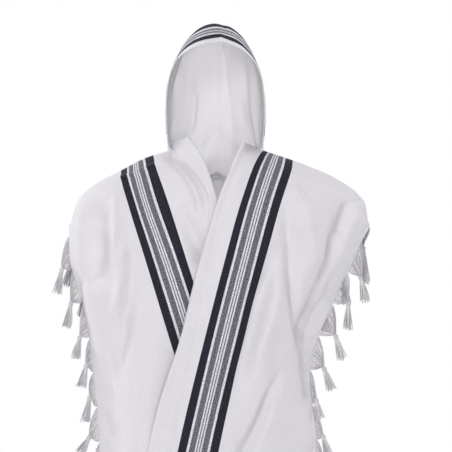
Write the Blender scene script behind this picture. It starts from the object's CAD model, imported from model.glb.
"""A tallit (prayer shawl) worn over the head and shoulders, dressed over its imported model.

One woven cloth: a hood running down into the back, and a side over each shoulder, crossed on the chest, with
woven stripes near each fringed end, a striped neckband over the head, knotted fringes, corner patches and
wound corner tassels. Metres, +Z up, the front faces -Y. Tables are in millimetres.

Cloth places are (s, b): s is the distance in metres from the middle of the cloth, to a fringed end at 0.90;
b runs along a rib of constant s, from -1 at the back hem through 0 on the shoulder to 1 at the front hem.
"""

import math

import bpy
import numpy as np
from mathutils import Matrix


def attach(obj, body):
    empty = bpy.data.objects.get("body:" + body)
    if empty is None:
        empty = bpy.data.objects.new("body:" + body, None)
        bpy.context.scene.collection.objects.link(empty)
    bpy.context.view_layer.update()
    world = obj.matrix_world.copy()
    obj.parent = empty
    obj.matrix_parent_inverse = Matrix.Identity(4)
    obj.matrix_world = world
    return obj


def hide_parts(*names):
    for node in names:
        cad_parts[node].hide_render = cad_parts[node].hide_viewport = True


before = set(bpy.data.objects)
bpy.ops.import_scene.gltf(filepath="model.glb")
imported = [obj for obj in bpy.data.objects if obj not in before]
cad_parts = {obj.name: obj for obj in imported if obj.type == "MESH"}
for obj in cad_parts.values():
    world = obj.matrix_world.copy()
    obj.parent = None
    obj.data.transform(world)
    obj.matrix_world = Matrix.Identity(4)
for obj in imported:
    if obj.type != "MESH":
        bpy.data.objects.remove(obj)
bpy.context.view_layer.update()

MM = 0.001

# ---- driving dimensions (metres) ----
CLOTH = 0.0012  # the cloth's thickness
HALF_WIDTH = 0.90  # the cloth's middle to a fringed end
FULL_LENGTH = 1.30  # hem to hem
HALF_OF_HOOD = 0.45  # the hood's middle to its foot, along the hem
BAND = (0.578, 0.650)  # where the striped band lies
ROLL_RADIUS = 0.0045  # the soft fold down each front's inner edge
ROLL_UNDER = 0.014  # and the cloth lying under it
ROLL_UNEVEN = (120, 5, 0.18)  # the size (mm), seed and share of the ripples in its radius

AXIS = (0.0, 0.01, 0.0)  # on the upright line through the wearer
HEAD_MIDDLE = (-0.005, 0.0, -0.14)
HEAD_BOTTOM = -0.2

ATARA_MARGIN = 0.014  # the neckband, from the hood's hem
ATARA_WIDTH = 0.072
ATARA_HALF_LENGTH = 0.22
ATARA_THICK = 0.0009
ATARA_LIFT = (0.0004, 0.0010)  # how far it is off the hood at its edges, and how much more inside them
ATARA_EDGE = 0.003
PATCH_SIDE = 0.040
PATCH_INSET = 0.006
PATCH_THICK = 0.0008
PATCH_LIFT = (0.0003, 0.0011)  # as the neckband's
PATCH_EDGE = 0.0018
STITCHES_IN = 0.003  # a patch's stitches from its edge, how deep, and half their width
STITCHES_DEEP = 0.0006
STITCHES_HALF_WIDTH = 0.0006
PATCH_ACROSS = 1.5  # metres of s that each metre of a patch takes up
FRINGED_HALF = 0.64  # what b from 0 to 1 counts as, where a distance from a hem is taken

TASSEL_PITCH = 0.067
FAN_OUT = 0.019  # a tassel's knot from the cloth's end, outwards and down
FAN_DOWN = 0.020
TASSEL_LENGTH = 0.046
FRINGE_STARTS = {"front_right": 0.034, "front_left": 0.020, "back_right": -0.004, "back_left": 0.010}
FRINGE_THREAD = 0.0007  # radii of the threads
KNOT_THREAD = 0.0016
STRAND_THREAD = (0.0012, 0.0010)
NET_THREADS = 28  # in each tassel's scallop
NET_CROSSINGS = (0.125, 0.275, 0.45, 0.6, 0.775)  # where threads cross it, over its threads' length
STRANDS = 20

EYELET_THREAD = 0.0007  # radii of the corner tassels' threads
EYELET_STRAND = 0.00075
SHAFT_CORE = 0.0019
SHAFT_THREAD = 0.00068
SHAFT_KNOT_THREAD = 0.0011
CORNER_THREAD = 0.00095
SHAFT_RADIUS = 0.0024
SHAFT_LENGTH = 0.090
SHAFT_TURNS = 62
SHAFT_KNOTS = 5
KNOT_RADIUS = 0.0034  # of the shaft's knots and of the thread round the eyelet
CORNER_STRAND = 0.205
CORNER_STRANDS = 8

# ---- how finely the cloth is divided ----
SIDE_COLUMNS = 96
MARGIN_COLUMNS = 26
ROLL_COLUMNS = 11
ROLL_LAST = 16.4  # the angle of a roll's last column, in degrees
FRONT_ROWS = 190
BACK_ROWS = 150
ROWS_DRAWN_UP = 1.1  # the power that draws a side's rows together towards the shoulder
HOOD_BACK_COLUMNS = 171
HOOD_STEPS = 76  # rows from the hood's hem to its neck
NAPE_STEPS = 78  # over the nape
NAPE_LONG = 0.17  # metres of cloth that they divide
BACK_STEPS = 94  # and on down the back
NECKBAND_ROWS = 41
PATCH_POINTS = 61
SHARP = 60  # degrees between faces from which an edge is sharp

# ---- the ribs: (x, y, z) in mm ----
# Stations down the front: shoulder, collarbone, upper chest, chest, waist, hip, hem.
FRONT_STOPS = (0.0, 0.07, 0.18, 0.36, 0.58, 0.76, 1.0)
# Stations down the back: collar, shoulder blade, back, waist, hip, hem (the shoulder is the front's first).
BACK_STOPS = (-0.07, -0.19, -0.34, -0.55, -0.77, -1.0)

RIGHT_FRONT = {
    "fold": ((52, -60, -229), (34, -84, -268), (6, -112, -336), (-32, -141, -458),
             (-67, -156, -600), (-104, -156, -713), (-136, -152, -858)),
    "neck": ((78, 2, -239), (58, -67, -265), (29, -109, -335), (-7, -142, -455),
             (-45, -157, -602), (-78, -157, -719), (-110, -153, -862)),
    "band_in": ((88, 2, -243), (72, -60, -265), (46, -106, -335), (13, -143, -452),
                (-26, -158, -604), (-56, -158, -725), (-88, -154, -866)),
    "band_out": ((144, 3, -262), (140, -50, -281), (121, -97, -338), (88, -137, -455),
                 (49, -151, -606), (19, -151, -728), (-14, -147, -884)),
    "shoulder": ((227, 6, -297), (223, -42, -319), (206, -83, -374), (166, -117, -477),
                 (119, -129, -622), (98, -128, -747), (84, -124, -926)),
    "arm": ((275, 6, -335), (273, -28, -352), (257, -58, -407), (214, -80, -502),
            (159, -86, -638), (149, -84, -768), (146, -80, -968)),
    "edge": ((290, 3, -389), (277, -12, -412), (255, -25, -458), (214, -33, -543),
             (175, -35, -672), (188, -38, -792), (180, -42, -1008)),
}
RIGHT_BACK = {
    "neck": ((86, 56, -267), (90, 102, -338), (88, 131, -455), (82, 143, -606),
             (79, 146, -782), (80, 148, -990)),
    "band_in": ((97, 51, -265), (102, 98, -336), (102, 129, -453), (97, 141, -605),
                (94, 144, -780), (95, 146, -982)),
    "band_out": ((149, 48, -288), (151, 92, -348), (147, 116, -456), (138, 126, -610),
                 (134, 129, -780), (136, 131, -980)),
    "shoulder": ((225, 45, -320), (214, 84, -378), (186, 106, -480), (152, 110, -622),
                 (144, 111, -790), (150, 112, -1000)),
    "arm": ((268, 34, -354), (244, 64, -408), (194, 83, -505), (143, 86, -640),
            (135, 86, -805), (141, 88, -1024)),
    "edge": ((274, 20, -407), (235, 40, -456), (178, 52, -545), (140, 55, -672),
             (134, 58, -820), (139, 60, -1044)),
}
LEFT_FRONT = {
    "inner": ((-58, -60, -219), (-36, -82, -252), (-10, -94, -322), (18, -109, -455),
              (54, -108, -604), (86, -102, -725), (120, -98, -860)),
    "collar": ((-80, -34, -232), (-64, -68, -262), (-24, -96, -326), (-8, -118, -455),
               (24, -118, -604), (56, -114, -725), (90, -110, -862)),
    "neck": ((-95, 2, -243), (-91, -58, -268), (-60, -95, -332), (-33, -123, -453),
             (7, -124, -604), (40, -120, -725), (73, -116, -864)),
    "band_in": ((-125, 2, -252), (-119, -50, -273), (-96, -93, -338), (-59, -126, -452),
                (-12, -129, -604), (22, -125, -725), (55, -121, -867)),
    "band_out": ((-186, 4, -281), (-184, -45, -300), (-170, -86, -347), (-135, -121, -457),
                 (-89, -132, -606), (-52, -131, -728), (-18, -127, -885)),
    "shoulder": ((-239, 6, -310), (-237, -40, -329), (-228, -78, -380), (-203, -106, -480),
                 (-166, -118, -622), (-141, -121, -747), (-116, -118, -926)),
    "arm": ((-269, 6, -340), (-269, -28, -357), (-268, -55, -408), (-253, -74, -502),
            (-222, -81, -638), (-200, -81, -768), (-186, -78, -966)),
    "edge": ((-285, 3, -391), (-285, -11, -407), (-281, -24, -457), (-254, -31, -545),
             (-238, -34, -668), (-226, -37, -792), (-222, -41, -1008)),
}
LEFT_BACK = {
    "neck": ((-103, 53, -270), (-111, 99, -342), (-106, 128, -456), (-100, 141, -606),
             (-97, 144, -782), (-98, 146, -990)),
    "band_in": ((-130, 49, -281), (-132, 95, -345), (-124, 124, -456), (-117, 137, -606),
                (-114, 141, -780), (-114, 143, -982)),
    "band_out": ((-188, 46, -307), (-184, 88, -358), (-172, 113, -460), (-162, 123, -612),
                 (-158, 127, -780), (-158, 129, -980)),
    "shoulder": ((-240, 44, -328), (-230, 83, -382), (-206, 104, -480), (-186, 109, -622),
                 (-178, 110, -790), (-178, 111, -1000)),
    "arm": ((-270, 33, -356), (-254, 62, -410), (-222, 80, -503), (-194, 83, -640),
            (-184, 83, -805), (-182, 85, -1024)),
    "edge": ((-280, 20, -408), (-258, 37, -458), (-222, 46, -545), (-188, 50, -672),
             (-178, 54, -820), (-176, 56, -1044)),
}
# Ribs of the back's middle start under the hood instead of on the shoulder.
MIDDLE_BACK = {
    "nape_left": ((-80, 70, -250), (-84, 86, -292), (-84, 112, -362), (-80, 134, -468),
                  (-74, 147, -622), (-72, 151, -800), (-72, 152, -1035)),
    "centre": ((-5, 106, -253), (-5, 111, -300), (-5, 124, -375), (-6, 140, -480),
               (-8, 151, -635), (-10, 155, -820), (-10, 157, -1085)),
    "nape_right": ((70, 70, -250), (70, 86, -291), (68, 112, -360), (64, 134, -466),
                   (56, 147, -620), (52, 151, -798), (52, 152, -1035)),
}
RIB_S = {"inner": 0.494, "collar": 0.520, "fold": 0.530, "neck": 0.554, "band_in": BAND[0],
         "band_out": BAND[1], "shoulder": 0.745, "arm": 0.825, "edge": HALF_WIDTH}
OUTER = ("neck", "band_in", "band_out", "shoulder", "arm", "edge")
MIDDLE_PLACES = (-0.70, 0.0, 0.70)  # where those ribs lie between the two neck ribs
MIDDLE_HALF = 0.100  # half of what shows between them

# The hood, a row for each arch from its hem to the neck.
HOOD_ARCHES = (
    # foot y, foot z, top y, top z, half width, squareness
    (-38, -248, -92, -41, 96, 5.2),
    (-30, -246, -58, -21, 96, 3.5),
    (-18, -242, -6, 0, 96, 2.75),
    (-4, -238, 68, -26, 94, 2.7),
    (8, -240, 107, -100, 91, 2.6),
    (22, -243, 108, -185, 91, 2.4),
    (36, -247, 106, -252, 91, 2.3),
)
HOOD_MIDDLE_X = -5
HOOD_TUCK = 0.055  # how far an arch's feet stand in, over its half width
HOOD_PEAK = 5  # the soft peak over the forehead
HOOD_PEAK_X = 6
HOOD_PEAK_WIDTH = 16
HOOD_PEAK_ARCHES = 4  # over which it fades
# The sheet's columns, from -1 at the left foot to 1 at the right, and the angle of each on an arch.
HOOD_TURNS = ((-1.0, -0.7, 0.0, 0.7, 1.0), (180.0, 145.5, 90.0, 34.5, 0.0))
ARCHES_USED = np.arange(0.0, 5.01, 0.5)  # that the columns run through
BACK_ARCH = 6.5  # what the back's first station counts as
# The arches between which the hood's shapes come in or give way, the last at which its folds are read, and
# the depth in mm at which the back's come in, past which arch.
CREASE_COMES_IN = (2.0, 3.0)
DRAPES_COME_IN = (2.4, 3.2)
LIP_COMES_IN = (4.2, 4.8)
FOLDS_GIVE_WAY = (5.0, 6.2)
FOLDS_READ_TO = 6.4
BACK_COMES_IN = (250, 310)
BACK_PAST_ARCH = 4.5

# The hood's folds: a path of (angle in degrees from the right foot, arch), how deep in mm, and the half width
# in arches. An arch counts as 20 degrees where distances are taken.
ARCH_DEGREES = 20
HOOD_FOLD_STRETCH = (0.06, 0.8)  # of its path, past which a fold gets no weaker
HOOD_FOLDS = (
    (((176, 1.4), (158, 1.9), (136, 2.3), (118, 2.4)), 7, 0.42),
    (((83, 1.0), (81, 3.6), (79, 6.0)), 5, 0.30),
    (((40, 3.4), (30, 4.4), (20, 5.4)), 7, 0.40),
    (((128, 4.2), (140, 5.2), (150, 6.0)), 6, 0.40),
    (((178, 0.9), (165, 1.2), (150, 1.5)), 5, 0.22),
    (((172, 4.5), (156, 4.7), (140, 4.4)), -4, 0.26),
    (((3, 1.3), (16, 1.6), (30, 2.0)), 5, 0.30),
)

# ---- the largest folds: a path of (x, z), how deep (out is minus) and half its width, all in mm ----
FRONT_FOLDS_RIGHT = (
    (((131, -310), (133, -367), (137, -424), (141, -481), (150, -547), (163, -614), (174, -680),
      (184, -760)), 9, 13),
    (((140, -300), (155, -335), (172, -385), (186, -440), (198, -500)), -9, 18),
    (((252, -326), (246, -345), (234, -395), (218, -455), (199, -520), (184, -580), (174, -650)), 18, 19),
    (((104, -420), (91, -471), (76, -538), (59, -604), (42, -671), (26, -740)), 8, 14),
    (((118, -460), (110, -500), (98, -547), (85, -614), (70, -690)), -8, 16),
    (((130, -636), (99, -709), (76, -766), (51, -817), (27, -872), (-10, -960)), 9, 12),
)
FRONT_FOLDS_LEFT = (
    (((-226, -318), (-230, -370), (-233, -440), (-240, -520)), 12, 23),
    (((-195, -316), (-193, -380), (-184, -450), (-180, -510), (-190, -570), (-206, -610)), -7, 13),
    (((-160, -410), (-168, -500), (-177, -570), (-186, -640), (-196, -720)), 6, 12),
    (((-122, -480), (-128, -642), (-146, -817), (-160, -1000)), -7, 28),
    (((-214, -560), (-216, -718), (-198, -830), (-190, -1000)), 6, 18),
)
BACK_FOLDS = (
    (((-40, -330), (-46, -600), (-48, -1260)), 15, 20),
    (((-8, -420), (-8, -700), (-8, -1300)), -14, 18),
    (((26, -330), (24, -600), (22, -1260)), 15, 19),
    (((62, -420), (58, -700), (56, -1240)), -13, 18),
    (((-82, -420), (-80, -700), (-80, -1240)), -13, 18),
    (((108, -340), (106, -600), (106, -1160)), 13, 17),
    (((-126, -340), (-124, -600), (-122, -1160)), 13, 17),
    (((200, -360), (168, -500), (150, -700)), 9, 14),
    (((-214, -370), (-182, -500), (-160, -720)), 9, 14),
)
FRONT_DEEPER = 1.6  # what the fronts' depths and widths are multiplied by
FRONT_WIDER = 1.25
CREASE_DEEPER = 1.7
# How each kind lies: the share, the size and the first seed of the ripples in its depth, how far its course
# wanders, and the share of its length over which it fades at each end.
FOLD = {"uneven": 0.22, "size": 90, "seed": 20, "wander": 3.0, "fade": 0.3}
CREASE = {"uneven": 0.3, "size": 60, "seed": 60, "wander": 0.0, "fade": 0.25}
WANDER_SIZE = 130

# ---- finer creases, in the same terms ----
CREASES_RIGHT = (
    (((131, -323), (133, -367), (137, -424), (141, -481), (150, -547), (163, -614), (173, -665)), 2.2, 8),
    (((144, -308), (161, -353), (175, -405)), -3, 10),
    (((213, -361), (205, -414), (196, -475)), -3.5, 10),
    (((249, -331), (243, -367), (236, -405)), 5, 11),
    (((198, -490), (188, -528), (179, -570), (169, -614)), 4, 10),
    (((266, -332), (271, -360), (270, -390)), -4, 10),
    (((124, -399), (104, -456), (84, -528), (63, -600), (48, -670)), 4, 12),
    (((124, -656), (99, -709), (76, -766), (51, -817), (30, -866)), 2, 6),
    (((138, -660), (113, -716), (90, -772), (65, -824)), -2, 8),
    (((109, -646), (85, -702), (63, -758), (38, -808)), -2, 8),
    (((120, -560), (112, -620), (112, -700)), 2, 14),
)
CREASES_LEFT = (
    (((-247, -325), (-215, -308), (-192, -300), (-150, -284), (-120, -272), (-82, -259),
      (-62, -256)), -2.4, 4.5),
    (((-196, -315), (-194, -386), (-192, -443)), -4.5, 7),
    (((-175, -414), (-179, -467), (-186, -520), (-201, -566)), -3.5, 8),
    (((-160, -448), (-169, -509), (-177, -562), (-184, -614)), 2.5, 7),
    (((-112, -240), (-99, -248), (-76, -271), (-54, -301), (-38, -336), (-30, -386)), 8, 9),
    (((-78, -345), (-53, -391), (-35, -430), (-24, -480)), 8, 14),
    (((-228, -604), (-218, -680), (-201, -775)), 3, 12),
    (((-262, -372), (-262, -440), (-252, -500)), -4, 11),
)
CREASES_BACK = (
    (((-66, -300), (-62, -420), (-64, -560)), 5, 9),
    (((12, -300), (8, -440), (10, -600)), 6, 10),
    (((46, -300), (44, -420), (42, -540)), -5, 9),
    (((-28, -310), (-26, -420), (-28, -520)), -5, 9),
    (((160, -330), (140, -420), (96, -520)), 6, 14),
    (((-176, -336), (-150, -430), (-110, -530)), 6, 14),
    (((88, -620), (90, -760), (96, -980)), -5, 14),
    (((-150, -640), (-146, -800), (-150, -1000)), -6, 13),
)
# The hood's drapes as seen from inside: towards the face is plus.
HOOD_DRAPES = (
    (((-58, -84), (-57, -130), (-58, -190), (-62, -232)), 4, 10),
    (((-44, -120), (-48, -170), (-54, -212)), 4, 5),
    (((-83, -78), (-84, -140), (-83, -214)), -3.5, 6),
    (((-72, -70), (-71, -130), (-72, -200)), 3, 6),
    (((39, -140), (46, -170), (53, -200)), -2, 7),
    (((58, -110), (62, -160), (64, -205)), 2, 9),
    (((48, -60), (56, -110), (60, -150)), -2, 8),
    (((-30, -60), (-34, -110), (-33, -160)), -2, 10),
    (((26, -58), (30, -100), (30, -150)), 2.5, 10),
)
DRAPES_SEED = 300
# The hood's pressed fold down the back of the head, as (x, z).
HOOD_CREASE = ((6, 0), (7.6, -42), (11.4, -55), (18.2, -144), (24.7, -184), (29.6, -279))
HOOD_CREASE_DEEP = -8
HOOD_CREASE_WIDTH = 13
# The lip where the hood's cloth folds over at the nape: its lower edge's height, lean and bend, how far from
# the middle it bends, how far towards the face it stands at heights above that edge, and where it fades.
NAPE_Z = -286
NAPE_LEAN = 0.12
NAPE_BEND = 0.035
NAPE_BENDS_TO = 30
NAPE_HEIGHTS = (-110, -50, -14, -1.5, 2.5, 9, 22, 36, 62, 100, 140)
NAPE_DEPTHS = (0, -10, -14, -13, 12, 14, 12, 3, -3, 2, 0)
NAPE_FADES = (38, 60)

# The left front's edge is turned out into a collar: its outer line, how far it stands off the front, half the
# step's width, and the heights between which it ends.
COLLAR_LINE = ((-104, -236), (-88, -240), (-67, -260), (-46, -286), (-27, -312), (-19, -336),
               (-17, -370), (-17, -420))
COLLAR_STANDS = 6
COLLAR_STEP_HALF = 1.5
COLLAR_ENDS = (-420, -340)
# A trough and three fine pleats along the right front's edge: how far from it each starts and ends, between
# which b, how deep, half the width, and the b between which it comes in.
EDGE_FOLDS = (
    ((7.8, 40), (0.16, 0.86), 3.2, 7.5, (0, 0.1)),
    ((6, 9), (0, 1), 0.7, 1.6, (0.3, 0.5)),
    ((11, 14), (0, 1), 0.7, 1.6, (0.3, 0.5)),
    ((15, 18), (0, 1), 0.7, 1.6, (0.3, 0.5)),
)
# Hems: a line of stitches pressed in, so far from the edge. A fringed end is soft and raised at its edge.
HEM_LINE = 9
HEM_LINE_HALF_WIDTH = 1.2
HEM_DEEP = 0.7
HOOD_HEM_DEEP = 0.8
END_RAISED = 2.0
END_RAISED_IN = 6
END_RAISED_HALF_WIDTH = 4.5
# Slow swellings: size, seed and height. They come in from the shoulder over so much of b, as the fronts'
# folds do from a fringed end over so many metres of s.
BACK_SWELLING = (70, 3, 0.8)
HOOD_SWELLING = (55, 9, 0.5)
SHOULDER_CALM = 0.08
END_CALM = 0.04

# How the neckband's stripes lie: distances from its near edge, and where on the band each of them falls.
ATARA_PLACES = (0, 14.5, 22.5, 28, 33.5, 39, 47, 66, 72)
ATARA_PATTERN = (0, 15.55, 20.15, 30.15, 41.85, 51.85, 56.45, 72, 76)

# For each side its ribs, its front's folds and creases with their seed, and its front's swelling.
SIDES = {"right": (RIGHT_FRONT, RIGHT_BACK, FRONT_FOLDS_RIGHT, CREASES_RIGHT, 100, (75, 101, 0.7)),
         "left": (LEFT_FRONT, LEFT_BACK, FRONT_FOLDS_LEFT, CREASES_LEFT, 200, (75, 201, 0.7))}


# ---- small tools ----
def curve(knots, values, at, first_slope=None, last_slope=None):
    """Smooth curve through values[k] at knots[k], read at each place in at: between two knots h apart it is
    (2u^3 - 3u^2 + 1) first + (u^3 - 2u^2 + u) h slope + (3u^2 - 2u^3) second + (u^3 - u^2) h slope. Its slope
    at a knot is that of the parabola through it and its neighbours, and at an end its chord's or as given."""
    knots, values, at = (np.asarray(given, float) for given in (knots, values, at))
    shape = (-1,) + (1,) * (values.ndim - 1)
    gaps = np.diff(knots).reshape(shape)
    rises = np.diff(values, axis=0) / gaps
    slopes = np.empty_like(values)
    slopes[0] = rises[0] if first_slope is None else first_slope
    slopes[-1] = rises[-1] if last_slope is None else last_slope
    slopes[1:-1] = (gaps[1:] * rises[:-1] + gaps[:-1] * rises[1:]) / (gaps[1:] + gaps[:-1])
    i = np.clip(np.searchsorted(knots, at, side="right") - 1, 0, len(knots) - 2)
    h = (knots[i + 1] - knots[i]).reshape(shape)
    u = (at - knots[i]).reshape(shape) / h
    return ((2 * u**3 - 3 * u**2 + 1) * values[i] + (u**3 - 2 * u**2 + u) * h * slopes[i]
            + (3 * u**2 - 2 * u**3) * values[i + 1] + (u**3 - u**2) * h * slopes[i + 1])


def read_line(places, values, at):
    """Values given at places along a line, read elsewhere on it by straight steps."""
    return np.stack([np.interp(at, places, column) for column in values.T], axis=-1)


def distances(points):
    """How far along its line each point is: the sum of the steps up to it."""
    steps = np.linalg.norm(np.diff(points, axis=-2), axis=-1)
    return np.insert(np.cumsum(steps, axis=-1), 0, 0.0, axis=-1)


def unit(v):
    """Vectors over their own lengths."""
    return v / np.maximum(np.linalg.norm(v, axis=-1, keepdims=True), 1e-9)


def ease(value, start, end):
    """0 up to start, 1 from end on, and 3u^2 - 2u^3 between, where u is the share of the way."""
    u = np.clip((value - start) / (end - start), 0, 1)
    return u * u * (3 - 2 * u)


def bell(u):
    """exp(-u^2): 1 in the middle, 0.37 at 1 and almost 0 from 2 on."""
    return np.exp(-u ** 2)


def places_of(u, v):
    """The place (u, v) of each point of a grid."""
    return np.stack(np.broadcast_arrays(u, v), axis=-1)


def upright(points):
    """x and z of points, in mm."""
    return points[..., 0] / MM, points[..., 2] / MM


def pushed_in(points, normals, depth):
    """The points moved inwards along their normals by a depth in mm."""
    return points - normals * (depth * MM)[..., None]


def grid_normals(points, outward):
    """Unit normals of a grid of points, on the side that the vectors outward, which go with its last columns,
    lie: the way across times the way down, as vectors."""
    n = unit(np.cross(np.gradient(points, axis=0), np.gradient(points, axis=1)))
    return n * np.sign(np.sum(n[-len(outward):] * outward))


def from_axis(points):
    """Away from the upright line through the wearer."""
    away = points - AXIS
    away[..., 2] = 0.0
    return unit(away)


def hood_outward(points):
    """Away from a point inside the head above the nape, and from the upright line below it."""
    return np.where(points[..., 2:] > HEAD_BOTTOM, unit(points - HEAD_MIDDLE), from_axis(points))


def path_distance(x, z, path):
    """Distance of each (x, z) from the curve through a path's points, its side (left of the path is plus) and
    how far along, from 0 to 1, its nearest place is. On a straight step a to b of the curve that place is
    a + u (b - a), where u is (p - a).(b - a) / |b - a|^2 kept from 0 to 1."""
    path = curve(range(len(path)), path, np.linspace(0, len(path) - 1, 4 * len(path) - 3))
    starts = distances(path)
    best = np.full(x.shape, np.inf)
    along = np.zeros(x.shape)
    left = np.ones(x.shape)
    for a, b, start, step in zip(path, path[1:], starts, np.diff(starts)):
        run = b - a
        u = np.clip(((x - a[0]) * run[0] + (z - a[1]) * run[1]) / step**2, 0, 1)
        d = np.hypot(x - a[0] - u * run[0], z - a[1] - u * run[1])
        nearer = d < best
        best = np.where(nearer, d, best)
        along = np.where(nearer, (start + u * step) / starts[-1], along)
        left = np.where(nearer, np.sign(run[0] * (z - a[1]) - run[1] * (x - a[0])), left)
    return best, left, along


def ripple(x, z, size, seed, high=1.0):
    """Slow uneven swelling, about high: the sum of five sines of 2 pi (x cos a + z sin a) / length + phase,
    each with its own direction a, length (about size, in mm) and phase from the seed."""
    draw = np.random.default_rng(seed)
    total = np.zeros(np.shape(x))
    for turn, stretch, phase in zip(draw.uniform(0, math.pi, 5), draw.uniform(0.7, 1.5, 5),
                                    draw.uniform(0, 2 * math.pi, 5)):
        p = x * math.cos(turn) + z * math.sin(turn)
        total += np.sin(p * 2 * math.pi / (size * stretch) + phase)
    return high * total / 3.2


def fold_depth(x, z, folds, seed, kind, deeper=1.0, wider=1.0):
    """How far in each (x, z) is pushed, in mm: for each fold deep exp(-(d / half width)^2), where d is the
    distance from its path, faded at both its ends and made uneven by slow ripples as its kind says; deeper
    and wider multiply its depth and its width."""
    depth = np.zeros(x.shape)
    wander = ripple(x, z, WANDER_SIZE, seed + 11, kind["wander"])
    for k, (path, deep, half_width) in enumerate(folds):
        d, left, along = path_distance(x, z, path)
        uneven = 1 + ripple(x, z, kind["size"], seed + kind["seed"] + k, kind["uneven"])
        fade = ease(along, 0, kind["fade"]) * ease(1 - along, 0, kind["fade"])
        depth += deep * deeper * uneven * bell((d * left + wander) / (half_width * wider)) * fade
    return depth


def hem_line(from_edge):
    """A hem's line of stitches, from 0 to 1: exp(-((distance from the edge - 9) / 1.2)^2), in mm."""
    return bell((from_edge / MM - HEM_LINE) / HEM_LINE_HALF_WIDTH)


# ---- the cloth's shape ----
def rib(front, back, name, b):
    """Points of one rib at places b: the curve through the stations of its back and front rows."""
    stops = list(FRONT_STOPS)
    rows = list(front[name])
    if name in back:
        stops = list(reversed(BACK_STOPS)) + stops
        rows = list(reversed(back[name])) + rows
    return curve(stops, np.array(rows) * MM, b)


def outer_ribs(front, back, b):
    """The ribs from the neck's to the fringed end's."""
    return np.array([rib(front, back, name, b) for name in OUTER])


def side_surface(front, back, s, b):
    """Grid of points from the neck rib to the fringed end, on the front, the shoulder and the back: the curve
    across the ribs at each b."""
    return curve([RIB_S[name] for name in OUTER], outer_ribs(front, back, b), s)


def neck_slope(front, back, b):
    """How the cloth leaves the neck rib, outwards, in metres for each metre of s."""
    ribs = outer_ribs(front, back, b)
    return (ribs[1] - ribs[0]) / (RIB_S[OUTER[1]] - RIB_S[OUTER[0]])


def margin_surface(front, back, s, b):
    """Grid of points from a front's inner edge to the neck rib: the curve across those ribs at each b, which
    meets the rest smoothly."""
    names = [name for name in front if name not in back] + [OUTER[0]]
    ribs = np.array([rib(front, back, name, b) for name in names])
    return curve([RIB_S[name] for name in names], ribs, s, last_slope=neck_slope(front, back, b))


def middle_surface(across, b):
    """Grid of points of the back between the two neck ribs: the curve across them and the middle's own ribs
    at each b; across runs from -1 to 1, and b from 0 to -1."""
    stops = (0.0,) + tuple(-stop for stop in BACK_STOPS)
    left = rib(LEFT_FRONT, LEFT_BACK, OUTER[0], b)
    right = rib(RIGHT_FRONT, RIGHT_BACK, OUTER[0], b)
    inner = [curve(stops, np.array(rows) * MM, -np.asarray(b)) for rows in MIDDLE_BACK.values()]
    knots = np.array((-1.0, *MIDDLE_PLACES, 1.0)) * MIDDLE_HALF
    return curve(knots, np.array([left, *inner, right]), across * MIDDLE_HALF,
                 first_slope=-neck_slope(LEFT_FRONT, LEFT_BACK, b),
                 last_slope=neck_slope(RIGHT_FRONT, RIGHT_BACK, b))


def hood_surface(angles, rows):
    """Grid of points of the hood: arches from row 0, the hem, to row 6, the neck; angle 0 is the right foot.
    An arch is x = middle + w cos(a), drawn in at its feet, and rises from its foot to its top by sin(a) to
    the power 2 / squareness."""
    arches = curve(range(len(HOOD_ARCHES)), HOOD_ARCHES, rows)
    foot_y, foot_z, top_y, top_z, half, square = arches.T[:, None, :]
    a = angles[:, None]
    rise = np.maximum(np.sin(a) ** 2, 1e-9) ** (1.0 / square)
    x = HOOD_MIDDLE_X + half * np.cos(a) * (1 - HOOD_TUCK * (1 - rise) ** 3)
    fade = np.clip(1.0 - rows / HOOD_PEAK_ARCHES, 0, 1)
    peak = HOOD_PEAK * np.exp(-np.abs(x - HOOD_PEAK_X) / HOOD_PEAK_WIDTH) * rise * fade
    y = foot_y + (top_y - foot_y) * rise
    z = foot_z + (top_z - foot_z) * rise + peak
    return np.stack(np.broadcast_arrays(x, y, z), axis=-1) * MM


def rolled(points, normals, s_first):
    """The grid with a soft roll added before its first column: cloth lying under, then half a turn of an
    uneven radius, edge + r inwards - r (inwards cos a + across sin a). Also the s of each column added."""
    across = unit(points[1] - points[0])
    inward = -unit(normals[0])
    radius = ROLL_RADIUS * (1 + ripple(*upright(points[0]), *ROLL_UNEVEN))[:, None]
    under = ROLL_UNDER * np.array((4, 3, 2, 1)) / 4
    turns = np.radians(np.linspace(180, ROLL_LAST, ROLL_COLUMNS))
    columns = [points[0] + inward * 2 * radius + across * reach for reach in under]
    columns += [points[0] + radius * (inward - inward * math.cos(a) - across * math.sin(a)) for a in turns]
    places = np.concatenate((under + math.pi * ROLL_RADIUS, turns * ROLL_RADIUS))
    return np.concatenate((np.array(columns), points)), s_first - places


# ---- meshes ----
def numbered(points, first=0):
    """The numbers of a grid's points, from the first."""
    return first + np.arange(points[..., 0].size).reshape(points.shape[:-1])


def quads_of(index):
    """Four-sided faces of a grid of vertex numbers."""
    return np.stack((index[:-1, :-1], index[1:, :-1], index[1:, 1:], index[:-1, 1:]), axis=-1).reshape(-1, 4)


def add_object(name, data):
    """A mesh, light or camera as an object of the scene."""
    made = bpy.data.objects.new(name, data)
    bpy.context.scene.collection.objects.link(made)
    return made


def lay_mesh(name, points, faces, finish, places=None):
    """A smooth-shaded object from points and faces; places, one (u, v) for each point, become its UV map."""
    mesh = bpy.data.meshes.new(name)
    mesh.from_pydata(points.tolist(), [], faces)
    mesh.shade_smooth()
    mesh.set_sharp_from_angle(angle=math.radians(SHARP))
    if places is not None:
        corners = np.empty(len(mesh.loops), np.int32)
        mesh.loops.foreach_get("vertex_index", corners)
        mesh.uv_layers.new(name="cloth").data.foreach_set("uv", places[corners].ravel())
    mesh.materials.append(finish)
    return add_object(name, mesh)


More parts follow.
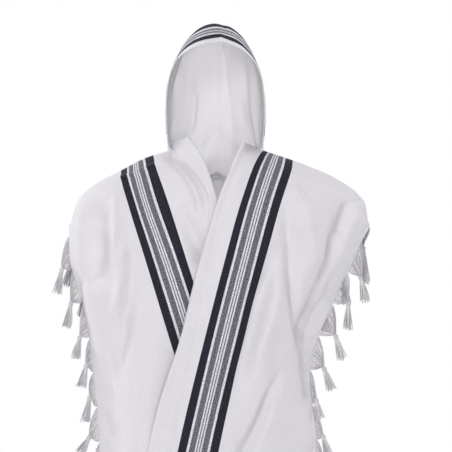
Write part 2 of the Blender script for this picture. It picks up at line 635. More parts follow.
def shell(name, points, normals, quads, places, finish, thickness=CLOTH):
    """A closed thin wall: the outer points, their copies p - n times the thickness, and a rim along every
    open edge, which is one that a single face has."""
    corner = points[quads]
    facing = np.cross(corner[:, 1] - corner[:, 0], corner[:, 3] - corner[:, 0])
    if np.sum(facing * normals[quads[:, 0]]) < 0:
        quads = quads[:, ::-1]
    count = len(points)
    edges = np.concatenate([quads[:, [k, (k + 1) % 4]] for k in range(4)])
    key = np.sort(edges, axis=1) @ np.array((count, 1))
    _, which, times = np.unique(key, return_inverse=True, return_counts=True)
    start, end = edges[times[which.ravel()] == 1].T
    rim = np.stack((end, start, start + count, end + count), axis=-1)
    faces = np.concatenate((quads, quads[:, ::-1] + count, rim))
    both = np.concatenate((points, points - normals * thickness))
    return lay_mesh(name, both, faces.tolist(), finish, np.concatenate((places, places)))


def flat(*grids):
    """The points of one or more grids as one list."""
    return np.concatenate([grid.reshape(-1, grid.shape[-1]) for grid in grids])


def grid_shell(name, points, normals, places, finish, thickness=CLOTH):
    """A closed thin wall from one grid of points."""
    quads = quads_of(numbered(points))
    return shell(name, flat(points), flat(normals), quads, flat(places), finish, thickness)


def tubes(paths, radii, sides=5):
    """Points and faces of round threads, one along each path (threads, places, 3) with the radii given at
    each place: a ring p + r (n1 cos a + n2 sin a) at each place, and a face across each end."""
    radii = np.broadcast_to(radii, paths.shape[:2])
    run = unit(np.gradient(paths, axis=1))
    aside = np.where(np.abs(run[..., 1:2]) < 0.8, (0.0, 1.0, 0.0), (1.0, 0.0, 0.0))
    one = unit(np.cross(run, aside))
    two = np.cross(run, one)
    a = np.arange(sides) * 2 * math.pi / sides
    ring = one[..., None, :] * np.cos(a)[:, None] + two[..., None, :] * np.sin(a)[:, None]
    points = paths[:, :, None] + ring * radii[..., None, None]
    index = numbered(points)
    around = np.roll(index, -1, axis=2)
    walls = np.stack((index[:, :-1], around[:, :-1], around[:, 1:], index[:, 1:]), axis=-1).reshape(-1, 4)
    faces = walls[:, ::-1].tolist() + index[:, 0].tolist() + index[:, -1, ::-1].tolist()
    return points.reshape(-1, 3), faces


def joined(parts):
    """Several (points, faces) as one."""
    points, faces, start = [], [], 0
    for some, their in parts:
        points.append(some)
        faces += [[start + k for k in face] for face in their]
        start += len(some)
    return np.concatenate(points), faces


def blend_path(start, first, second, end, t):
    """Cubic paths that leave start towards first and reach end from second, each of these (threads, 3), at t:
    (1 - t)^3 start + 3 (1 - t)^2 t first + 3 (1 - t) t^2 second + t^3 end."""
    t = t[None, :, None]
    a, b, c, d = (given[:, None] for given in (start, first, second, end))
    return (1 - t)**3 * a + 3 * (1 - t)**2 * t * b + 3 * (1 - t) * t**2 * c + t**3 * d


def coil(start, run, one, two, turns, places, phase=0.0):
    """A thread wound round: start + t run + one cos(a) + two sin(a), where a is 2 pi turns t + phase, for t
    from 0 to 1."""
    t = np.linspace(0, 1, places)[:, None]
    a = 2 * math.pi * turns * t + phase
    return (start + t * run + one * np.cos(a) + two * np.sin(a))[None]


# ---- materials ----
def feed(tree, socket, given):
    """Sets an input to a value, or links another node's output to it."""
    if isinstance(given, bpy.types.NodeSocket):
        tree.links.new(given, socket)
    else:
        socket.default_value = given


def add_node(tree, kind, **settings):
    """A node; each setting is one of its own values, or goes into its input of that name."""
    node = tree.nodes.new(kind)
    for key, given in settings.items():
        if hasattr(node, key):
            setattr(node, key, given)
        else:
            feed(tree, node.inputs[key.replace("_", " ")], given)
    return node


def maths(tree, operation, *given):
    """The output of a Math node of numbers or other nodes' outputs."""
    node = add_node(tree, "ShaderNodeMath", operation=operation)
    for socket, value in zip(node.inputs, given):
        feed(tree, socket, value)
    return node.outputs[0]


def colour_mix(tree, amount, one, two, blend="MIX"):
    """The output of a colour mix; amount, one and two are other nodes' outputs, numbers or colours."""
    node = add_node(tree, "ShaderNodeMix", data_type="RGBA", blend_type=blend)
    for socket, value in zip((node.inputs[0], node.inputs[6], node.inputs[7]), (amount, one, two)):
        feed(tree, socket, (*value, 1.0) if isinstance(value, tuple) else value)
    return node.outputs[2]


def noise(tree, at, scale, detail=2.0):
    """Cloudy values, about 0.5, that change scale times in each metre."""
    return add_node(tree, "ShaderNodeTexNoise", Vector=at, Scale=scale, Detail=detail).outputs[0]


def stretched(tree, at, scale):
    """The coordinate at, with each axis multiplied by its own scale."""
    return add_node(tree, "ShaderNodeMapping", Vector=at, Scale=scale).outputs[0]


def waves(tree, at, direction, scale, distortion):
    """Rounded ridges across a direction, from 0 to 1."""
    return add_node(tree, "ShaderNodeTexWave", Vector=at, bands_direction=direction, Scale=scale,
                    Distortion=distortion).outputs[1]


def cloth_place(tree):
    """The place on the UV map, and its u alone."""
    place = add_node(tree, "ShaderNodeUVMap", uv_map="cloth").outputs[0]
    return place, add_node(tree, "ShaderNodeSeparateXYZ", Vector=place).outputs[0]


def new_material(name, **inputs):
    """A material whose one shader has these inputs. Returns it, its nodes and the shader."""
    made = bpy.data.materials.new(name)
    made.use_nodes = True
    shader = made.node_tree.nodes["Principled BSDF"]
    for key, value in inputs.items():
        shader.inputs[key.replace("_", " ")].default_value = value
    return made, made.node_tree, shader


def finish_shader(tree, shader, colour, height, strength, distance):
    """Gives the shader its colour, and a height as a bump."""
    bump = add_node(tree, "ShaderNodeBump", Strength=strength, Distance=distance, Height=height)
    tree.links.new(colour, shader.inputs["Base Color"])
    tree.links.new(bump.outputs[0], shader.inputs["Normal"])


CLOTH_WHITE = (0.75, 0.735, 0.765)
CLOTH_SHADE = (0.71, 0.695, 0.73)
STRIPE_BLACK = (0.024, 0.022, 0.034)
STRIPE_GREY = (0.155, 0.148, 0.178)
STRIPE_WHITE = (0.70, 0.69, 0.73)
THREAD_WHITE = (0.82, 0.805, 0.83)
THREAD_SHADE = (0.58, 0.565, 0.59)
THREAD_DARK = (0.13, 0.125, 0.15)
# Half of the band's pattern, from its middle line outwards: where each stripe starts (m) and its colour.
STRIPES = ((0.0, STRIPE_WHITE), (0.00135, STRIPE_GREY), (0.00315, STRIPE_WHITE), (0.00585, STRIPE_GREY),
           (0.01585, STRIPE_WHITE), (0.02045, STRIPE_BLACK), (0.036, CLOTH_WHITE))
BAND_REACH = 0.04  # what the stripes' ramp spans, from the band's middle line
GRAIN = 450.0  # the salt and pepper of the dyed threads, in cells to a metre
GRAIN_STRONG = 1.7
SLUBS_DOWN = (900, 75, 1)  # the slubs' thickness and length, as scales of u and v
SLUBS_ACROSS = (75, 800, 1)
CLOUDS = 22.0


def stripes(tree, off):
    """The stripe's colour at a distance off the band's middle line."""
    ramp = add_node(tree, "ShaderNodeValToRGB", Fac=maths(tree, "DIVIDE", off, BAND_REACH))
    ramp.color_ramp.interpolation = "CONSTANT"
    stops = ramp.color_ramp.elements
    while len(stops) < len(STRIPES):
        stops.new(0.5)
    for stop, (start, colour) in zip(stops, STRIPES):
        stop.position = start / BAND_REACH
        stop.color = (*colour, 1.0)
    return ramp.outputs[0]


def woven_material(name, glow, reach):
    """Plain-woven wool with the striped band where the UV map's u, in metres across the cloth, says so: the
    stripes by distance from the band's middle line, grained by their two colours of thread, threads both ways
    as a fine bump, and slubs along them. glow is the share of light that enters the cloth and reach how far
    it goes there, in metres."""
    made, tree, shader = new_material(name, Roughness=0.88, Sheen_Weight=0.04, Sheen_Roughness=0.5,
                                      Specular_IOR_Level=0.15, Subsurface_Weight=glow,
                                      Subsurface_Radius=(1.0, 1.0, 1.0), Subsurface_Scale=reach)
    place, u = cloth_place(tree)
    off = maths(tree, "ABSOLUTE", maths(tree, "SUBTRACT", u, (BAND[0] + BAND[1]) / 2))
    slubs = [noise(tree, stretched(tree, place, scale), 1.0) for scale in (SLUBS_DOWN, SLUBS_ACROSS)]
    fleck = maths(tree, "MULTIPLY", maths(tree, "ADD", *slubs), 0.5)
    shade = add_node(tree, "ShaderNodeMapRange", Value=fleck, From_Min=0.32, From_Max=0.68, To_Min=0.80,
                     To_Max=1.16).outputs[0]
    salt = maths(tree, "MULTIPLY", noise(tree, place, GRAIN, 1.0), GRAIN_STRONG)
    grain = maths(tree, "ADD", salt, (1 - GRAIN_STRONG) / 2)
    dyed = colour_mix(tree, 1.0, stripes(tree, off), grain, "OVERLAY")
    woven = colour_mix(tree, 1.0, dyed, shade, "MULTIPLY")
    plain = colour_mix(tree, noise(tree, place, CLOUDS, 3.0), CLOTH_WHITE, CLOTH_SHADE)
    soft = colour_mix(tree, 0.30, plain, shade, "MULTIPLY")
    inside = maths(tree, "LESS_THAN", off, STRIPES[-1][0])
    cover = maths(tree, "MULTIPLY", waves(tree, place, "X", 260.0, 1.5), waves(tree, place, "Y", 230.0, 1.5))
    height = maths(tree, "ADD", maths(tree, "MULTIPLY", cover, 0.35), fleck)
    finish_shader(tree, shader, colour_mix(tree, inside, soft, woven), height, 0.35, 0.0006)
    return made


def thread_material():
    """Twisted white thread: slanting plies as a bump, a little uneven in colour, and darker by the UV map's
    u, which is each thread's own shade."""
    made, tree, shader = new_material("fringe thread", Roughness=0.85, Sheen_Weight=0.15,
                                      Specular_IOR_Level=0.25)
    at = add_node(tree, "ShaderNodeTexCoord").outputs["Object"]
    light = colour_mix(tree, noise(tree, at, 420.0), THREAD_WHITE, THREAD_SHADE)
    colour = colour_mix(tree, cloth_place(tree)[1], light, THREAD_DARK)
    finish_shader(tree, shader, colour, waves(tree, at, "DIAGONAL", 170.0, 2.0), 0.5, 0.0005)
    return made


wool = woven_material("woven wool", 0.25, 0.0020)
hood_wool = woven_material("woven wool over the head", 0.95, 0.005)
thread = thread_material()


# ---- the hood and the back ----
def hood_relief(points, turn, arch):
    """How far in the hood's points go, in mm: for each fold over the arches deep exp(-(d / half width)^2)
    times the root of sin(pi along); its pressed fold, deep exp(-d / width); and its inside's drapes."""
    depth = np.zeros(arch.shape)
    for path, deep, half_width in HOOD_FOLDS:
        d, _, along = path_distance(turn / ARCH_DEGREES, arch, [(a / ARCH_DEGREES, r) for a, r in path])
        depth += deep * bell(d / half_width) * np.sin(math.pi * np.clip(along, *HOOD_FOLD_STRETCH)) ** 0.5
    x, z = upright(points)
    d, _, _ = path_distance(x, z, HOOD_CREASE)
    depth += HOOD_CREASE_DEEP * np.exp(-d / HOOD_CREASE_WIDTH) * ease(arch, *CREASE_COMES_IN)
    return depth + fold_depth(x, z, HOOD_DRAPES, DRAPES_SEED, CREASE) * ease(arch, *DRAPES_COME_IN)


def nape_relief(x, z):
    """How far towards the face the cloth stands at the nape, in mm: the curve by height above the lip's lower
    edge, which is at nape z - lean x - bend x^2, faded out to both sides."""
    above = z - (NAPE_Z - NAPE_LEAN * x - NAPE_BEND * np.clip(x, -NAPE_BENDS_TO, NAPE_BENDS_TO) ** 2)
    heights = np.linspace(NAPE_HEIGHTS[0], NAPE_HEIGHTS[-1], 500)
    depth = np.interp(above, heights, curve(NAPE_HEIGHTS, NAPE_DEPTHS, heights))
    return depth * (1 - ease(abs(x), *NAPE_FADES))


def back_depth(x, z, swelling=1.0):
    """How far in the back goes, in mm: its folds, its creases and that much of its slow swelling."""
    return (fold_depth(x, z, BACK_FOLDS, 0, FOLD) + fold_depth(x, z, CREASES_BACK, 0, CREASE)
            + ripple(x, z, *BACK_SWELLING) * swelling)


def build_hood_and_back():
    """One sheet: columns from foot to foot over the head, each the curve by its own length from the hood's
    hem over the head and down the back to its hem, through the hood's arches and the back's stations. Returns
    the piece, its grids of points and normals, and how far from the hood's hem each point is."""
    across = np.linspace(-1.0, 1.0, HOOD_BACK_COLUMNS)
    turn = curve(*HOOD_TURNS, across)[:, None]
    through = np.concatenate((hood_surface(np.radians(turn[:, 0]), ARCHES_USED),
                              middle_surface(across, BACK_STOPS)), axis=1)
    arches = np.concatenate((ARCHES_USED, np.arange(len(BACK_STOPS)) + BACK_ARCH))
    values = np.concatenate((through, np.broadcast_to(arches[:, None], (*through.shape[:2], 1))), axis=2)
    knots = distances(through)
    nape, end = knots[:, len(ARCHES_USED) - 1, None], knots[:, -1:]
    lip = nape + NAPE_LONG
    at = np.concatenate((nape * np.linspace(0, 1, HOOD_STEPS),
                         nape + np.linspace(0, NAPE_LONG, NAPE_STEPS + 1)[1:],
                         lip + (end - lip) * np.linspace(0, 1, BACK_STEPS + 1)[1:]), axis=1)
    read = np.array([curve(*column) for column in zip(knots, values, at)])
    points, arch = read[..., :3], read[..., 3]
    x, z = upright(points)
    below = ease(-z, *BACK_COMES_IN) * (arch > BACK_PAST_ARCH)
    depth = hood_relief(points, np.broadcast_to(turn, arch.shape), np.minimum(arch, FOLDS_READ_TO))
    depth *= 1 - ease(arch, *FOLDS_GIVE_WAY)
    depth += nape_relief(x, z) * ease(arch, *LIP_COMES_IN) + back_depth(x, z) * below
    depth += ripple(x + points[..., 1] / MM, z, *HOOD_SWELLING) * (1 - below)
    depth += HOOD_HEM_DEEP * hem_line(at) + HEM_DEEP * hem_line(end - at)
    points = pushed_in(points, grid_normals(points, hood_outward(points)), depth)
    normals = grid_normals(points, hood_outward(points))
    places = places_of(across[:, None] * HALF_OF_HOOD, at)
    return grid_shell("hood_and_back", points, normals, places, hood_wool), points, normals, at


def build_neckband(points, normals, at):
    """The striped neckband on the hood: on each column, the stretch between two distances behind the hem,
    raised off it, eased in over its edges."""
    hem = distances(points[:, 0])
    hem -= hem[-1] / 2
    chosen = np.flatnonzero(np.abs(hem) < ATARA_HALF_LENGTH)
    wanted = np.linspace(0, ATARA_WIDTH, NECKBAND_ROWS)
    both = np.concatenate((points, normals), axis=2)
    columns = np.array([read_line(at[k], both[k], ATARA_MARGIN + wanted) for k in chosen])
    out = unit(columns[..., 3:])
    lift = ATARA_LIFT[0] + ATARA_LIFT[1] * ease(np.minimum(wanted, ATARA_WIDTH - wanted), 0, ATARA_EDGE)
    pattern = BAND[0] + np.interp(wanted / MM, ATARA_PLACES, ATARA_PATTERN) * MM
    return grid_shell("neckband", columns[..., :3] + out * lift[:, None], out,
                      places_of(pattern, hem[chosen, None]), wool, ATARA_THICK)


# ---- the sides ----
def right_edge_depth(s, b):
    """How far in the right front goes beside its edge, in mm: for each fold along the edge
    deep exp(-((distance from the edge - its place) / half width)^2)."""
    off = (s - RIB_S["fold"]) / MM
    return sum(deep * bell((off - np.interp(b, stretch, places)) / half_width) * ease(b, *comes_in)
               for places, stretch, deep, half_width, comes_in in EDGE_FOLDS)


def collar_height(x, z):
    """How far the left front's collar stands out, in mm: a soft step across its outer line, ending lower."""
    d, left, _ = path_distance(x, z, COLLAR_LINE)
    return COLLAR_STANDS * ease(d * left, -COLLAR_STEP_HALF, COLLAR_STEP_HALF) * ease(z, *COLLAR_ENDS)


def side_depth(side, points, s, b, on_front):
    """How far in a side's points go, in mm: its folds, creases and slow swelling, what its inner edge does
    and the hems' stitches, less the raised end, 2 exp(-((distance from the end - 6) / 4.5)^2)."""
    x, z = upright(points)
    if on_front:
        folds, creases, seed, swelling = SIDES[side][2:]
        depth = (fold_depth(x, z, folds, seed, FOLD, FRONT_DEEPER, FRONT_WIDER)
                 + fold_depth(x, z, creases, seed, CREASE, CREASE_DEEPER))
        depth *= ease(HALF_WIDTH - s, 0, END_CALM)
        depth += ripple(x, z, *swelling) * ease(b, 0, SHOULDER_CALM)
        depth += right_edge_depth(s, b) if side == "right" else -collar_height(x, z)
    else:
        depth = back_depth(x, z, ease(-b, 0, SHOULDER_CALM))
    depth += HEM_DEEP * hem_line((1 - np.abs(b)) * FRINGED_HALF)
    return depth - END_RAISED * bell(((HALF_WIDTH - s) / MM - END_RAISED_IN) / END_RAISED_HALF_WIDTH)


def build_side(side):
    """One side as a single sheet: the front with its margin and a roll down its inner edge, and the back,
    which share the shoulder's points. Returns the piece and, for front and back, the grids of points and
    normals that trims lie on, with how far down each of their rows is, from 0 to 1."""
    front, back = SIDES[side][:2]
    first = RIB_S[next(iter(front))]
    s = np.linspace(RIB_S["neck"], HALF_WIDTH, SIDE_COLUMNS)
    margin_s = np.linspace(first, RIB_S["neck"], MARGIN_COLUMNS, endpoint=False)
    near_s = np.concatenate((margin_s, s))
    down = np.linspace(0, 1, FRONT_ROWS) ** ROWS_DRAWN_UP
    behind = -np.linspace(0, 1, BACK_ROWS)[::-1] ** ROWS_DRAWN_UP
    whole = side_surface(front, back, s, np.concatenate((behind[:-1], down)))
    whole_normals = grid_normals(whole, from_axis(whole))
    far, far_normals = whole[:, :BACK_ROWS], whole_normals[:, :BACK_ROWS]
    near = np.concatenate((margin_surface(front, back, margin_s, down), whole[:, BACK_ROWS - 1:]))
    near_normals = grid_normals(near, from_axis(near))
    near_normals[MARGIN_COLUMNS:, 0] = far_normals[:, -1]
    near = pushed_in(near, near_normals, side_depth(side, near, near_s[:, None], down, True))
    far = pushed_in(far, far_normals, side_depth(side, far, s[:, None], behind, False))
    far[:, -1] = near[MARGIN_COLUMNS:, 0]
    near_normals = grid_normals(near, from_axis(near))
    far_normals = grid_normals(far, from_axis(far))
    shoulder = unit(near_normals[MARGIN_COLUMNS:, 0] + far_normals[:, -1])
    near_normals[MARGIN_COLUMNS:, 0] = far_normals[:, -1] = shoulder
    sheet, roll_s = rolled(near, near_normals, first)
    sheet_normals = grid_normals(sheet, near_normals[2:])
    sheet_normals[-SIDE_COLUMNS:, 0] = shoulder
    index = numbered(sheet)
    back_index = np.concatenate((numbered(far[:, :-1], index.size), index[-SIDE_COLUMNS:, :1]), axis=1)
    quads = np.concatenate((quads_of(index), quads_of(back_index)))
    places = flat(places_of(np.concatenate((roll_s, near_s))[:, None], down * FULL_LENGTH / 2),
                  places_of(s[:, None], behind[:-1] * FULL_LENGTH / 2))
    piece = shell(f"shawl_{side}", flat(sheet, far[:, :-1]), flat(sheet_normals, far_normals[:, :-1]), quads,
                  places, wool)
    laid_on = {"front": (near[-SIDE_COLUMNS:], near_normals[-SIDE_COLUMNS:], down),
               "back": (far[:, ::-1], far_normals[:, ::-1], -behind[::-1])}
    return piece, laid_on


def build_patch(name, points, normals, b):
    """A corner patch read from the panel's own grid and raised off it, eased in over its edges, less a row of
    stitches, deep exp(-((distance from the edge - theirs) / half width)^2). Returns the piece, the patch's
    middle and the way out there."""
    s = np.linspace(RIB_S["neck"], HALF_WIDTH, SIDE_COLUMNS)
    fine = []
    for inset in ((HALF_WIDTH - s) / PATCH_ACROSS, (1 - b) * FRINGED_HALF):
        covered = np.flatnonzero((inset >= PATCH_INSET) & (inset <= PATCH_INSET + PATCH_SIDE))
        fine.append(np.linspace(covered[0], covered[-1], PATCH_POINTS))
    i, j = (np.minimum(place.astype(int), limit - 2) for place, limit in zip(fine, points.shape))
    across, down = (fine[0] - i)[:, None, None], (fine[1] - j)[:, None]
    i = i[:, None]
    both = np.concatenate((points, normals), axis=2)
    read = ((both[i, j] * (1 - across) + both[i + 1, j] * across) * (1 - down)
            + (both[i, j + 1] * (1 - across) + both[i + 1, j + 1] * across) * down)
    ground, out = read[..., :3], unit(read[..., 3:])
    u = np.linspace(0, PATCH_SIDE, PATCH_POINTS)
    edge = np.minimum(u, PATCH_SIDE - u)
    edge = np.minimum(edge[:, None], edge)
    lift = (PATCH_LIFT[0] + PATCH_LIFT[1] * ease(edge, 0, PATCH_EDGE)
            - STITCHES_DEEP * bell((edge - STITCHES_IN) / STITCHES_HALF_WIDTH))
    places = places_of(u[:, None], u) + 0.1
    piece = grid_shell(name, ground + out * lift[..., None], out, places, wool, PATCH_THICK)
    middle = PATCH_POINTS // 2
    return piece, ground[middle, middle], out[middle, middle]


# ---- fringes and corner tassels ----
DROP = np.array((0.0, 0.0, -1.0))
# For each tassel from the shoulder down: how much it leans outwards, its length over the usual one, and how
# far its knot hangs out and down from the cloth's end, over the usual.
TASSELS = {
    "fringe_front_right": ((0.38, 1.0, 0.9, 1.4), (0.02, 1.05, 1.15, 0.9), (0.38, 1.0, 1.2, 0.95),
                           (0.52, 0.95, 1.2, 0.95), (0.28, 0.8, 0.65, 0.95)),
    "fringe_front_left": ((0.35, 1.0, 1.0, 1.0), (0.3, 1.0, 1.0, 1.0), (0.4, 0.9, 1.0, 1.0),
                          (0.3, 0.9, 0.6, 0.7), (0.26, 1.0, 0.6, 0.5), (0.8, 0.7, 1.0, 0.9)),
    "fringe_back_right": ((0.12, 1.45, 0.5, 0.7),),
}
USUAL_TASSEL = (0.3, 0.95, 0.8, 1.1)
GOLDEN_TURN = 2.399963  # the angle that spreads strands evenly over a disc


def build_fringe(name, edge, out, seed):
    """The knotted fringe of one stretch of a fringed end: for each tassel a scallop of threads that leave the
    cloth's end outwards and turn down to its knot, threads across them, the knot wound round them, and the
    strands flaring below it, all cubic paths (blend_path) from roots spaced evenly along the end."""
    draw = np.random.default_rng(seed)
    lengths = distances(edge)
    start = FRINGE_STARTS[name.removeprefix("fringe_")]
    shapes = TASSELS.get(name, ())
    parts, shades = [], []

    def add(paths, radii, sides, shade):
        """Adds threads, with the shade of all of them or of each."""
        parts.append(tubes(paths, radii, sides))
        shades.append(np.repeat(np.broadcast_to(shade, len(paths)), paths.shape[1] * sides))

    spread = np.linspace(0.02, 0.98, NET_THREADS)
    share = spread[:, None]
    for k in range(int((lengths[-1] - start) // TASSEL_PITCH)):
        lean, long, far_out, far_down = shapes[k] if k < len(shapes) else USUAL_TASSEL
        roots = read_line(lengths, edge, np.clip(start + (k + spread) * TASSEL_PITCH, 0, lengths[-1]))
        way = unit(read_line(lengths, out, start + (k + 0.5) * TASSEL_PITCH))
        knot = roots[NET_THREADS // 2] + way * FAN_OUT * far_out + DROP * FAN_DOWN * far_down
        hang = unit(DROP + way * (lean + draw.uniform(-0.05, 0.05)))
        thick = unit(np.cross(way, unit(roots[-1] - roots[0])))
        wide = unit(np.cross(thick, hang))
        jitter = draw.normal(0, 0.0008, (NET_THREADS, 3))
        belly = way * (0.010 + 0.004 * np.sin(math.pi * share)) * (0.5 + far_out / 2)
        first = roots + belly + DROP * 0.002 + jitter
        entry = knot - DROP * 0.014 * (1 - share) - way * 0.009 * share + jitter
        at_knot = (knot + thick * draw.uniform(-0.0015, 0.0015, (NET_THREADS, 1))
                   + wide * draw.uniform(-0.0015, 0.0015, (NET_THREADS, 1)))
        ends = roots - way * 0.002 + thick * draw.uniform(-0.0005, 0.0005, (NET_THREADS, 1))
        net = (ends, first, entry, at_knot)
        add(blend_path(*net, np.linspace(0, 1, 10)), FRINGE_THREAD, 4, draw.uniform(0.0, 0.5, NET_THREADS))
        for t in NET_CROSSINGS:
            crossing = blend_path(*net, np.array([t]))[:, 0] + thick * draw.choice((-0.0007, 0.0007))
            add((crossing + draw.normal(0, 0.0005, crossing.shape))[None], FRINGE_THREAD, 4, 0.2)
        wound = coil(knot - hang * 0.002975, hang * 0.0085, thick * 0.0030, wide * 0.0034, 2.6, 34)
        add(wound, KNOT_THREAD, 6, 0.05)
        around = np.arange(STRANDS) * GOLDEN_TURN
        off = np.sqrt((np.arange(STRANDS) + 0.5) / STRANDS)
        aside = thick * (off * np.cos(around))[:, None] + wide * (off * np.sin(around))[:, None]
        length = TASSEL_LENGTH * long * (1 + draw.uniform(-0.07, 0.05, STRANDS))[:, None]
        wild = draw.normal(0, 0.0012, (STRANDS, 3))
        strands = blend_path(knot + hang * 0.004 + aside * 0.0026,
                             knot + hang * length * 0.35 + aside * 0.0056 + wild * 0.6,
                             knot + hang * length * 0.75 + aside * 0.0088 - wild * 1.3,
                             knot + hang * length + aside * 0.0098 + wild, np.linspace(0, 1, 9))
        add(strands, np.linspace(*STRAND_THREAD, 9), 5,
            draw.uniform(0, 0.35, STRANDS) * (draw.uniform(0, 1, STRANDS) > 0.3))
    shades = np.concatenate(shades)
    return lay_mesh(name + "_threads", *joined(parts), thread, places_of(shades, shades))


def build_tzitzit(name, patch_middle, outward, seed):
    """A corner tassel: a thread round the patch's eyelet and four through it, a shaft wound round its core
    with double knots, and eight strands hanging below it: coils and cubic paths (coil, blend_path), the
    strands with a curl of t sin(7 pi t) to the side."""
    draw = np.random.default_rng(seed)
    out = unit(outward * (1, 1, 0))
    second = np.cross(out, DROP)
    lie = unit(outward)
    level = unit(np.cross(lie, (0, 0, 1)))
    upward = np.cross(level, lie)
    top = patch_middle + out * 0.0085
    eyelet = coil(patch_middle + lie * 0.0016, 0 * lie, level * KNOT_RADIUS, upward * KNOT_RADIUS, 1, 25)
    sides = np.linspace(-1, 1, 4)[:, None]
    start = patch_middle + lie * 0.0002 + level * sides * 0.0012
    through = blend_path(start, start + lie * 0.007 + upward * 0.003,
                         top - DROP * 0.006 + second * sides * 0.0018,
                         top + DROP * 0.002 + second * sides * 0.0012, np.linspace(0, 1, 9))
    core = top + DROP * np.linspace(0, SHAFT_LENGTH, 12)[:, None]
    wound = coil(top, DROP * SHAFT_LENGTH, out * SHAFT_RADIUS, second * SHAFT_RADIUS, SHAFT_TURNS,
                 SHAFT_TURNS * 11)
    parts = [tubes(eyelet, EYELET_THREAD, 6), tubes(through, EYELET_STRAND, 5),
             tubes(core[None], SHAFT_CORE, 7), tubes(wound, SHAFT_THREAD, 5)]
    for k in range(SHAFT_KNOTS + 1):
        depth = k * SHAFT_LENGTH / SHAFT_KNOTS + 0.0005 - (0.003 if k == SHAFT_KNOTS else 0)
        knot = coil(top + DROP * depth, DROP * 0.004, out * KNOT_RADIUS, second * KNOT_RADIUS, 2.3, 30, k)
        parts.append(tubes(knot, SHAFT_KNOT_THREAD, 6))
    a = np.arange(CORNER_STRANDS)[:, None] * 2 * math.pi / CORNER_STRANDS
    aside = out * np.cos(a) + second * np.sin(a)
    foot = top + DROP * SHAFT_LENGTH
    reach = DROP * CORNER_STRAND * (1 + draw.uniform(-0.03, 0.02, CORNER_STRANDS))[:, None]
    wild = draw.normal(0, 0.0022, (CORNER_STRANDS, 3)) * (1, 1, 0)
    t = np.linspace(0, 1, 26)
    strands = blend_path(foot + aside * 0.0014 - DROP * 0.002, foot + reach * 0.3 + aside * 0.0044 - wild,
                         foot + reach * 0.7 + aside * 0.0052 + wild * 2,
                         foot + reach + aside * 0.0062 + wild, t)
    curl = (np.sin(7 * math.pi * t) * t)[:, None] * unit(wild + 1e-6)[:, None] * 0.0012
    parts.append(tubes(strands + curl, CORNER_THREAD, 5))
    return lay_mesh(name + "_threads", *joined(parts), thread)


# ---- the shawl ----
def carry(piece, slot, *nodes):
    """The piece rides on the one body, takes a finish and stands for its nodes."""
    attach(piece, "root")
    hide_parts(*nodes)
    return piece


hood_and_back, hood_points, hood_normals, hood_at = build_hood_and_back()
carry(hood_and_back, "woven_wool", "hood", "back_middle")
neckband = carry(build_neckband(hood_points, hood_normals, hood_at), "band_weave", "atara")

seed = 1
for side, sign in (("right", 1), ("left", -1)):
    piece, laid_on = build_side(side)
    carry(piece, "woven_wool", f"{side}_front", f"back_{side}")
    trims = []
    for part, (points, normals, b) in laid_on.items():
        edge = points[-1, 2:]       # the fringe leaves it on along the cloth and outwards
        out = unit(unit(edge - points[-5, 2:]) * (1, 0.2, 1) + (0.8 * sign, 0, 0))
        fringe = carry(build_fringe(f"fringe_{part}_{side}", edge, out, seed), "fringe_thread",
                       f"fringe_{part}_{side}")
        patch, middle, way = build_patch(f"corner_patch_{part}_{side}", points, normals, b)
        carry(patch, "woven_wool", f"patch_{part}_{side}")
        tassel = carry(build_tzitzit(f"tzitzit_{part}_{side}", middle, way, seed + 50), "fringe_thread",
                       f"tzitzit_{part}_{side}")
        trims += [fringe, patch, tassel]
        seed += 1

# ---- floor, light and camera ----
FLOOR_Z = -1.72
MIDDLE = (0.0, 0.0, -0.45)
HEAD = (0.0, 0.0, -0.12)
WHITE = (1.0, 1.0, 1.0)
SENSOR = 36.0
CAMERA_AWAY = 7.0
VIEW_X = 0.0152
VIEW_Z = -0.3876
FRAME_WIDE = 0.859  # what the view spans
FRAME_BEFORE_AXIS = 0.06  # at this distance in front of the wearer's axis

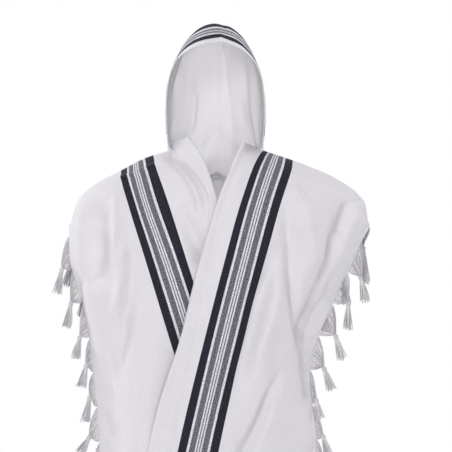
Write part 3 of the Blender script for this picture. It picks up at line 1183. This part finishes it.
bpy.ops.mesh.primitive_plane_add(size=14, location=(0, 0, FLOOR_Z))
floor = bpy.context.object
floor.name = "studio_floor"
floor.data.materials.append(new_material("pale floor", Base_Color=(0.86, 0.86, 0.87, 1), Roughness=0.7)[0])


def soft_light(name, at, towards, size, power, colour):
    """A square area light at a place, turned towards another."""
    light = bpy.data.lights.new(name, "AREA")
    light.size, light.energy, light.color = size, power, colour
    made = add_object(name, light)
    made.location = at
    away = np.array(at) - np.array(towards)
    made.rotation_euler = (math.acos(away[2] / np.linalg.norm(away)), 0, math.atan2(away[0], -away[1]))


soft_light("key", (-1.7, -6.6, 1.7), MIDDLE, 1.6, 136, (1.0, 0.985, 0.965))
soft_light("front", (0.9, -7.5, -0.5), MIDDLE, 2.0, 112, (1.0, 0.99, 0.985))
soft_light("top", (-0.1, -0.8, 3.4), MIDDLE, 1.6, 40, WHITE)
soft_light("back", (-0.6, 4.0, 1.4), MIDDLE, 2.0, 38, WHITE)
soft_light("back left", (-4.0, 2.0, 0.6), HEAD, 1.6, 104, WHITE)
soft_light("back right", (4.0, 2.0, 0.6), HEAD, 1.6, 74, WHITE)

# The world lights with one white and is seen as another.
world = bpy.data.worlds.new("studio")
bpy.context.scene.world = world
world.use_nodes = True
tree = world.node_tree
tree.nodes.clear()
rays = add_node(tree, "ShaderNodeLightPath")
either = add_node(tree, "ShaderNodeMixShader", Fac=rays.outputs["Is Camera Ray"])
for socket, strength, colour in zip(either.inputs[1:], (0.37, 1.0), ((0.97, 0.97, 1.0, 1), (*WHITE, 1))):
    feed(tree, socket, add_node(tree, "ShaderNodeBackground", Strength=strength, Color=colour).outputs[0])
add_node(tree, "ShaderNodeOutputWorld", Surface=either.outputs[0])
bpy.context.scene.view_settings.view_transform = "Standard"

camera = bpy.data.cameras.new("camera")
camera.sensor_width = SENSOR
camera.lens = SENSOR * (CAMERA_AWAY - FRAME_BEFORE_AXIS) / FRAME_WIDE
camera.clip_end = 50
viewer = add_object("camera", camera)
viewer.location = (VIEW_X, -CAMERA_AWAY, VIEW_Z)
viewer.rotation_euler = (math.pi / 2, 0, 0)
bpy.context.scene.camera = viewer
